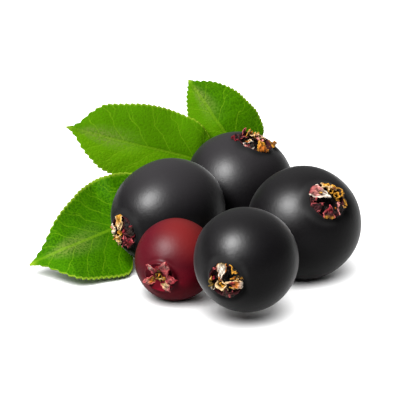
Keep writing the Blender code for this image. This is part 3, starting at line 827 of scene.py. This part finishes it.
def sepal_sheet(sepal, crown, root, angle, draw):
    """One dried sepal: a strip along a path that rises with its first slope and then bends over to its last.

    Across it the strip is as wide as its outline at that share, its edges frayed by sine waves that differ on
    each side, and its end torn by waves along it. On the wall it follows the basin's round, and further on it
    cups towards the edges with the square of the distance from its middle. Crumples are sine waves along and
    across it that grow towards the tip. Its colour is streaked by sine waves, with painted shade in the
    crumples' hollows and painted light on their crests. Returns both faces in the calyx's own frame, and
    their colour.
    """
    v = np.linspace(0, 1, SEPAL_ROWS)[:, None]
    u = np.linspace(-1, 1, SEPAL_COLUMNS)[None, :]
    over = smooth_step(*crown.bend, v)
    slope = np.radians(crown.first + (sepal.last - crown.first) * over)
    step = sepal.length / SEPAL_ROWS
    out = root[0] + np.cumsum(np.cos(slope), axis=0) * step
    up = root[1] + np.cumsum(np.sin(slope), axis=0) * step
    outline = np.interp(v, np.linspace(0, 1, len(SEPAL_OUTLINE)), SEPAL_OUTLINE)
    phase = draw.uniform(0, TAU, 9)
    left = np.sin(9 * v + phase[0]) + 0.7 * np.sin(25 * v + phase[1])
    right = np.sin(8 * v + phase[2]) + 0.7 * np.sin(28 * v + phase[3])
    fray = 1 + SEPAL_FRAY * np.where(u < 0, left, right) * np.sqrt(v)
    side = sepal.width * outline * u * fray
    torn = (0.17 * np.sin(4 * u + phase[4]) + 0.1 * np.sin(11 * u + phase[5])) * v**3
    around = -(side**2) / (2 * root[0]) * (1 - over) * np.sin(np.radians(crown.first))
    size = min(1.0, sepal.width / CRUMPLED_WIDTH)
    crumple = (0.13 * np.sin(7 * v + 2.6 * u + phase[6]) + 0.09 * np.sin(5.5 * u - 12 * v + phase[7])
               + 0.05 * np.sin(13 * u + 11 * v + phase[8])) * (0.15 + v) * size
    lift = -SEPAL_CUPPING * sepal.width * outline * u**2 * over + crumple
    radial = out + around + np.cos(slope) * torn + np.sin(slope) * lift
    height = up + np.sin(slope) * torn - np.cos(slope) * lift
    aside = side + sepal.lean * smooth_step(0.2, 1.0, v)
    x = radial * math.cos(angle) - aside * math.sin(angle)
    y = radial * math.sin(angle) + aside * math.cos(angle)
    middle = np.stack(np.broadcast_arrays(x, y, height), axis=-1)
    half = grid_normals(middle) * SEPAL_THICKNESS / 2 * (1 - 0.5 * np.abs(u[..., None]) ** 4)
    base, blade, tip, edge = sepal.colours
    to_blade = smooth_step(0.15, 0.5, v)[..., None]
    to_tip = smooth_step(0.5, 0.85, v)[..., None]
    rim = smooth_step(0.74, 1.0, np.maximum(np.abs(u), smooth_step(0.7, 1.0, v)))[..., None]
    colour = blend(blend(base, blade, to_blade), tip, to_tip)
    streak = 0.5 + 0.5 * np.sin(11 * u + 2.5 * np.sin(5 * v + phase[5]) + 3 * crumple / 0.1)
    # Painted shade in the crumples' hollows and painted light on their crests
    crumple_shading = np.clip(0.75 + 3.2 * crumple, 0.3, 1.25)
    colour = colour * ((0.5 + 0.7 * streak) * crumple_shading)[..., None]
    return middle + half, middle - half, np.clip(blend(colour, edge, rim), 0, 1)


def curl_sheet(curl, place, draw):
    """A rolled scrap of dried tissue: an open ring that flares upwards, with a lobed and wavy upper edge."""
    phi = np.linspace(0, CURL_SWEEP, CURL_ROWS)[:, None]
    rise = np.linspace(0, 1, CURL_COLUMNS)[None, :]
    phase = draw.uniform(0, TAU, 3)
    flare = CURL_FOOT + (1 - CURL_FOOT) * rise**1.5
    radius = curl.radius * (flare + CURL_LOBE * np.sin(curl.lobes * phi + phase[0]) * rise)
    height = curl.height * rise * (1 + CURL_RAGGED * np.sin(curl.lobes * phi + phase[1]) * rise)
    angle = phi + phase[2]
    foot = np.array([*place, CURL_BASE])
    middle = foot + np.stack([radius * np.cos(angle), radius * np.sin(angle), height], axis=-1)
    half = grid_normals(middle) * CURL_THICKNESS / 2
    colour = blend(*curl.colours, smooth_step(0.2, 0.85, rise)[..., None])
    return middle + half, middle - half, np.broadcast_to(colour, middle.shape)


def thread(route, radii, columns, rows, ripple=None):
    """Rings along the smooth curve through the route: each stands square to it, at the radius for its share.

    A ring's first axis is square to the curve and to the way in which the route spreads least. The ripple, a
    function of the share and the angle, scales the radius.
    """
    line = smooth_path(route, rows)
    share = np.linspace(0, 1, rows)
    radius = np.interp(share, np.linspace(0, 1, len(radii)), radii)[:, None]
    tangent = unit(np.gradient(line, axis=0))
    least = np.linalg.svd(line - line.mean(0))[2][-1]
    first = unit(np.cross(tangent, least))
    second = np.cross(tangent, first)
    phi = turn(columns)
    if ripple is not None:
        radius = radius * ripple(share[:, None], phi)
    return (line[:, None] + first[:, None] * (radius * np.cos(phi))[..., None]
            + second[:, None] * (radius * np.sin(phi))[..., None])


def cup_rings(crown, draw):
    """The cup under the sepals: its profile turned round the axis, ruffled by sine waves of the angle."""
    phi = turn(CUP_COLUMNS)
    wall = smooth_path(crown.cup, CUP_ROWS)
    ruffle = 1 + 0.02 * np.sin(5 * phi + draw.uniform(0, TAU)) + 0.015 * np.sin(23 * phi)
    radius = wall[:, :1] * ruffle
    height = wall[:, 1:] + 0.03 * np.sin(7 * phi)
    rim = smooth_step(0.7, 1.0, wall[:, :1] / wall[:, 0].max())[..., None]
    rings = np.stack([radius * np.cos(phi), radius * np.sin(phi), height], axis=-1)
    return rings, [(0, 0, crown.cup[0][1]), (0, 0, crown.cup[-1][1])], blend(SOOT, WINE, rim)


def scrap_sheet(crown, draw):
    """A loose scrap of petal: a small sepal, drawn at random, that starts near the others' roots."""
    scrap = Sepal(0.0, draw.uniform(*SCRAP_WIDTHS), draw.uniform(*SCRAP_LENGTHS),
                  draw.uniform(*SCRAP_SLOPES), draw.uniform(*SCRAP_LEANS),
                  SCRAP_COLOURS[draw.integers(len(SCRAP_COLOURS))])
    root = (crown.root[0] * draw.uniform(*SCRAP_ROOTS), crown.root[1] - SCRAP_SINK)
    return sepal_sheet(scrap, crown, root, draw.uniform(0, TAU), draw)


def stamen_rings(crown, number, draw):
    """A dried stamen: a thread that bows outwards from its foot in the cup and leans its own way."""
    angle = TAU * (number + draw.uniform(-0.3, 0.3)) / STAMENS
    ring = STAMEN_RING * crown.root[0]
    foot = np.array([ring * math.cos(angle), ring * math.sin(angle), STAMEN_FOOT])
    lean = draw.uniform(-0.5, 0.1)
    around = angle + draw.uniform(-0.6, 0.6)
    tip = foot + [lean * math.cos(around), lean * math.sin(around), draw.uniform(0.35, 0.75)]
    bow = [STAMEN_BOW * math.cos(angle), STAMEN_BOW * math.sin(angle), STAMEN_RISE]
    rings = thread([foot, (foot + tip) / 2 + bow, tip], STAMEN_RADII, STAMEN_COLUMNS, STAMEN_ROWS)
    colour = ORANGE if draw.uniform() < ORANGE_STAMENS else UMBER
    to_tip = smooth_step(0.3, 1.0, np.linspace(0, 1, STAMEN_ROWS))[:, None, None]
    return rings, [foot, tip], blend(SOOT, colour, to_tip)


def build_crown(name, berry, seed, material):
    """The dried calyx: a dark cup, its sepals, loose scraps, rolled anthers, and the stamens round them."""
    draw = np.random.default_rng(seed)
    crown = CROWNS[name]
    centre, axes = berry_frame(berry)
    shell = Shell()

    def placed(points):
        """From the calyx's own frame, where a basin measures 1, to the sprig's."""
        return centre + (np.asarray(points) * berry.basin + [0, 0, berry.length]) @ axes.T

    def add_round(rings, ends, colour):
        shell.ringed(placed(rings), placed(ends), tint=colour)

    def add_sheet(top, bottom, colour):
        shell.sheet(placed(top), placed(bottom), tint=(colour, colour))

    add_round(*cup_rings(crown, draw))
    for sepal in crown.sepals:
        aim = math.radians(sepal.aim)
        x, y = from_picture(berry, math.cos(aim), math.sin(aim))
        add_sheet(*sepal_sheet(sepal, crown, crown.root, math.atan2(y, x), draw))
    for _ in range(crown.scraps):
        add_sheet(*scrap_sheet(crown, draw))
    for curl in crown.curls:
        add_sheet(*curl_sheet(curl, from_picture(berry, curl.right, curl.up) / berry.basin, draw))
    for number in range(STAMENS):
        add_round(*stamen_rings(crown, number, draw))
    return shell.finish("crown_" + name, material, "dry_calyx", "calyx_" + name)


def leaf_half(leaf, side, share, middle, u):
    """One half of the blade as a grid from the midrib to its edge, and its marks by name.

    A point lies on the midrib at its share of the length, plus its half width times the way that its side
    spreads, plus a low arch and a wave. The edge carries forward-pointing teeth: each rises slowly along the
    edge and drops at its point. The blade swells between the side veins as a cosine of the row mark.

    The row mark counts the side veins passed on the way to the tip. They lean forward, bend with the square
    of the distance from the midrib, and wander as sine waves. Of the other marks, out is that distance,
    across and along are the shares of the half width and the length, narrow is the distance between two
    veins, pale is how far painted light lightens the blade, and rib is a bell curve over the midrib, lower
    towards the tip.
    """
    tangent = unit(np.gradient(middle, axis=0))
    run = run_along(middle)[:, None]
    outline = smooth_path(leaf.widths[side], OUTLINE_STEPS)
    half = np.interp(share, outline[:, 0], outline[:, 1])
    spread = blend(leaf.roots[side], leaf.spreads[side], smooth_step(*leaf.turn, share))
    normal = unit(np.cross(spread, tangent)) * (1 if side == 0 else -1)
    face = np.sign((normal @ LEAF_FACES).mean())
    fullness = (half / half.max()) ** 2
    wave = leaf.wave * np.sin(TAU * (LEAF_WAVES * share + LEAF_WAVE_SHIFT * side)) * fullness
    ends = np.clip((1 - share) / TOOTHLESS_END, 0, 1) * np.clip(share / TOOTHLESS_END, 0, 1)
    part = (share * leaf.teeth + TOOTH_START) % 1.0
    tooth = part * (1 - part**TOOTH_DROP) * ends
    edge = smooth_step(TOOTHED_FROM, 1.0, u)
    out = half * u
    reach = out + (tooth - TOOTH_SEAT) * TOOTH_DEPTH * edge * ends
    bow = 4 * leaf.arch * half.max() * fullness * u * (1 - u) + wave * u * u
    lean = leaf.lean[side]
    wander = 0.3 * np.sin(1.9 * run + 1.3 * out + 2 * side) + 0.14 * np.sin(5.1 * out + 3 * side)
    row = (run - lean * out + VEIN_BEND * out**2 + wander * u + 0.5 * VEIN_PITCH * side) / VEIN_PITCH
    swell = (0.5 - 0.5 * np.cos(TAU * row)) * 4 * u * (1 - u) * fullness
    lift = bow + face * VEIN_SWELL * swell
    slant = tooth * TOOTH_SLANT * edge
    grid = (middle[:, None] + spread[:, None] * reach[..., None] + normal[:, None] * lift[..., None]
            + tangent[:, None] * slant[..., None])
    whole = np.ones_like(out)
    return grid, {"row": row, "out": out, "across": u * whole, "along": share * whole,
                  "narrow": VEIN_PITCH / math.hypot(1, lean) * whole,
                  # pale: painted light, lightening this half of the blade away from the midrib
                  "pale": leaf.pale[side] * smooth_step(0.0, PALE_FROM_RIB, out),
                  "rib": bell(out, UNDER_RIB_REACH) * (1 - UNDER_RIB_TAPER * share)}


def leaf_sheet(leaf):
    """The blade from base to tip and from one edge over the midrib to the other, as its two faces.

    The shares of the length are even along the midrib's chord, and those of the width crowd by a cosine
    towards the midrib and the edge. A blade that comes down to the ground bends along a hyperbola and lies
    just above it. The underside follows a leaf's thickness below, thinner towards the edge and the tip, and
    swells under the midrib. Returns both faces, the normals between them, and each mark's values on both.
    """
    share = np.linspace(0, 1, leaf.teeth * TOOTH_ROWS + 1)
    curve = smooth_path(leaf.midrib, MIDRIB_STEPS)
    chord = curve[-1] - curve[0]
    along = (curve - curve[0]) @ chord / (chord @ chord)
    middle = np.stack([np.interp(share, along, curve[:, k]) for k in range(3)], axis=1)
    even = np.linspace(0, 1, LEAF_COLUMNS)
    u = blend(even, 0.5 - 0.5 * np.cos(math.pi * even), COLUMN_CROWDING)[None, :]
    halves = [leaf_half(leaf, side, share[:, None], middle, u) for side in range(2)]

    def joined(pair):
        """The two halves side by side, with the midrib's column once."""
        return np.concatenate([pair[0][:, :0:-1], pair[1]], axis=1)

    sheet = joined([grid for grid, _ in halves])
    marks = {name: joined([values[name] for _, values in halves]) for name in halves[0][1]}
    above = sheet[:, :, 2] - LEAF_REST
    sheet[:, :, 2] = LEAF_REST + (above + np.sqrt(above**2 + LEAF_REST_BEND**2)) / 2
    normal = grid_normals(sheet)
    normal *= np.sign((normal @ LEAF_FACES).mean())
    thin_edge = 1 - LEAF_EDGE_THINNING * marks["across"] ** 4
    thin_tip = 1 - LEAF_TIP_THINNING * smooth_step(LEAF_TIP_FROM, 1.0, marks["along"])
    half = LEAF_THICKNESS / 2 * thin_edge * thin_tip
    top = sheet + normal * half[..., None]
    bottom = sheet - normal * (half + UNDER_RIB * marks.pop("rib"))[..., None]
    bottom[..., 2] = np.maximum(bottom[..., 2], LEAF_LOWEST)
    under = (np.zeros_like(half), np.ones_like(half))
    return top, bottom, normal, {"under": under} | {name: (value, value) for name, value in marks.items()}


def build_leaf(name, leaf, material):
    """A leaf: its blade, and a stalk that runs on under the blade as the midrib."""
    top, bottom, normal, marks = leaf_sheet(leaf)
    rows, columns = top.shape[:2]
    middle = (top + bottom)[:, columns // 2] / 2 - normal[:, columns // 2] * RIB_DROP
    under = middle[int(RIB_START * rows):int(RIB_END * rows):rows // RIB_STOPS]
    rib = thread(np.vstack([leaf.stalk, under]), RIB_RADII, RIB_COLUMNS, RIB_ROWS)
    shell = Shell()
    shell.sheet(top, bottom, **marks)
    shell.ringed(rib, **dict.fromkeys(marks, 0.0))
    return shell.finish("blade_" + name, material, "leaf_green", "leaf_" + name)


def bark_ridges(share, phi):
    """How far the bark swells: sine waves that wind round the twig, and fine ones along it."""
    return (1 + 0.03 * np.sin(5 * phi + 40 * share) + 0.02 * np.sin(9 * phi - 95 * share)
            + 0.015 * np.sin(230 * share + 2 * phi))


def build_stem(material):
    """The stem: a twig that swells at its knots as bell curves, with a cut end, and a stalk to each berry."""
    line = smooth_path(TWIG, TWIG_ROWS)
    base = np.interp(np.linspace(0, 1, TWIG_ROWS), [0, 1], TWIG_RADII)
    swell = np.zeros(TWIG_ROWS)
    for place, radius in KNOTS:
        away = np.linalg.norm(line - np.array(place), axis=1)
        swell += np.clip(radius - base, 0, None) * bell(away, KNOT_REACH)
    cut = np.zeros((TWIG_ROWS, 1))
    cut[0] = 1.0
    shell = Shell()
    shell.ringed(thread(TWIG, base + swell, TWIG_COLUMNS, TWIG_ROWS, bark_ridges), young=0.0, cut=cut)
    for name, route in STALK_ROUTES.items():
        berry = BERRIES[name]
        route = np.vstack([route, stalk_foot(berry, -STALK_LEAD), stalk_foot(berry, STALK_SINK)])
        shell.ringed(thread(route, STALK_RADII, STALK_COLUMNS, STALK_ROWS, bark_ridges), young=1.0, cut=0.0)
    return shell.finish("woody_stem", material, "bark", "stem")


def aimed(name, data, towards, distance):
    """A camera or lamp that faces the point looked at, from this far away in this direction."""
    made = in_scene(name, data)
    made.location = (np.array(LOOK_AT) + unit(towards) * distance) * MM
    made.rotation_mode = "QUATERNION"
    made.rotation_quaternion = Vector(-unit(towards)).to_track_quat("-Z", "Y")
    return made


def build_camera():
    """The camera, far off with a long lens, as the photograph's narrow view asks for."""
    view = bpy.data.cameras.new("camera")
    view.lens = LENS
    view.sensor_width = SENSOR
    view.clip_start = NEAREST
    view.clip_end = FARTHEST
    bpy.context.scene.camera = aimed("camera", view, -CAMERA_FORWARD, CAMERA_DISTANCE)


def build_lamp(name, towards, size, power, pieces):
    """A round soft lamp that lights these pieces alone, from this direction."""
    light = bpy.data.lights.new(name, "AREA")
    light.shape = "DISK"
    light.size = size * MM
    light.energy = power
    lamp = aimed(name, light, towards, LAMP_DISTANCE)
    lit = bpy.data.collections.new("lit_by_" + name)
    for piece in pieces:
        lit.objects.link(piece)
    lamp.light_linking.receiver_collection = lit


def build_table():
    """A wide white table under the sprig."""
    half = FLOOR_SIZE / 2 * MM
    corners = [(-half, -half, 0), (half, -half, 0), (half, half, 0), (-half, half, 0)]
    mesh = bpy.data.meshes.new("floor")
    mesh.from_pydata(corners, [], [(0, 1, 2, 3)])
    white = Finish("floor_white", Base_Color=(FLOOR_SHADE, FLOOR_SHADE, FLOOR_SHADE, 1.0), Roughness=0.8,
                   Specular_IOR_Level=0.1)
    mesh.materials.append(white.material)
    floor = in_scene("floor", mesh)
    return floor


def build_sky():
    """A soft tent of light, brightest overhead and dim towards the camera."""
    world = bpy.data.worlds.new("tent")
    world.use_nodes = True
    sky = NodeTree(world.node_tree)
    towards = sky.node("ShaderNodeTexCoord", out="Generated")
    facing_top = sky.node("ShaderNodeVectorMath", {"operation": "DOT_PRODUCT"},
                          {0: towards, 1: unit(SKY_TOWARDS)}, out="Value")
    strength = sky.node("ShaderNodeMapRange", {"interpolation_type": "SMOOTHSTEP"},
                        {"Value": facing_top, "From Min": SKY_EDGE, "To Min": SKY_DIM, "To Max": SKY_BRIGHT})
    background = world.node_tree.nodes["Background"]
    sky.plug(background.inputs["Color"], (1.0, 1.0, 1.0))
    sky.plug(background.inputs["Strength"], strength)
    bpy.context.scene.world = world
    bpy.context.scene.view_settings.view_transform = "Standard"


def main():
    """Build the studio and the sprig, and light each by its own lamps."""
    build_camera()
    floor = build_table()
    build_sky()
    black, red, dry, green, brown = black_skin(), red_skin(), dry_calyx(), leaf_green(), bark()
    numbered = list(enumerate(BERRIES.items(), start=1))
    skins = [build_berry(name, berry, number, black if berry.ripe else red)
             for number, (name, berry) in numbered]
    crowns = [build_crown(name, berry, CROWN_SEEDS + number, dry) for number, (name, berry) in numbered]
    blades = [build_leaf(name, leaf, green) for name, leaf in LEAVES.items()]
    stem = build_stem(brown)
    build_lamp("key", KEY_TOWARDS, KEY_SIZE, KEY_POWER, [*skins, *crowns, *blades, stem])
    build_lamp("gloss", KEY_TOWARDS, KEY_SIZE, GLOSS_POWER, skins)
    build_lamp("table", TABLE_TOWARDS, TABLE_SIZE, TABLE_POWER, [floor])


main()
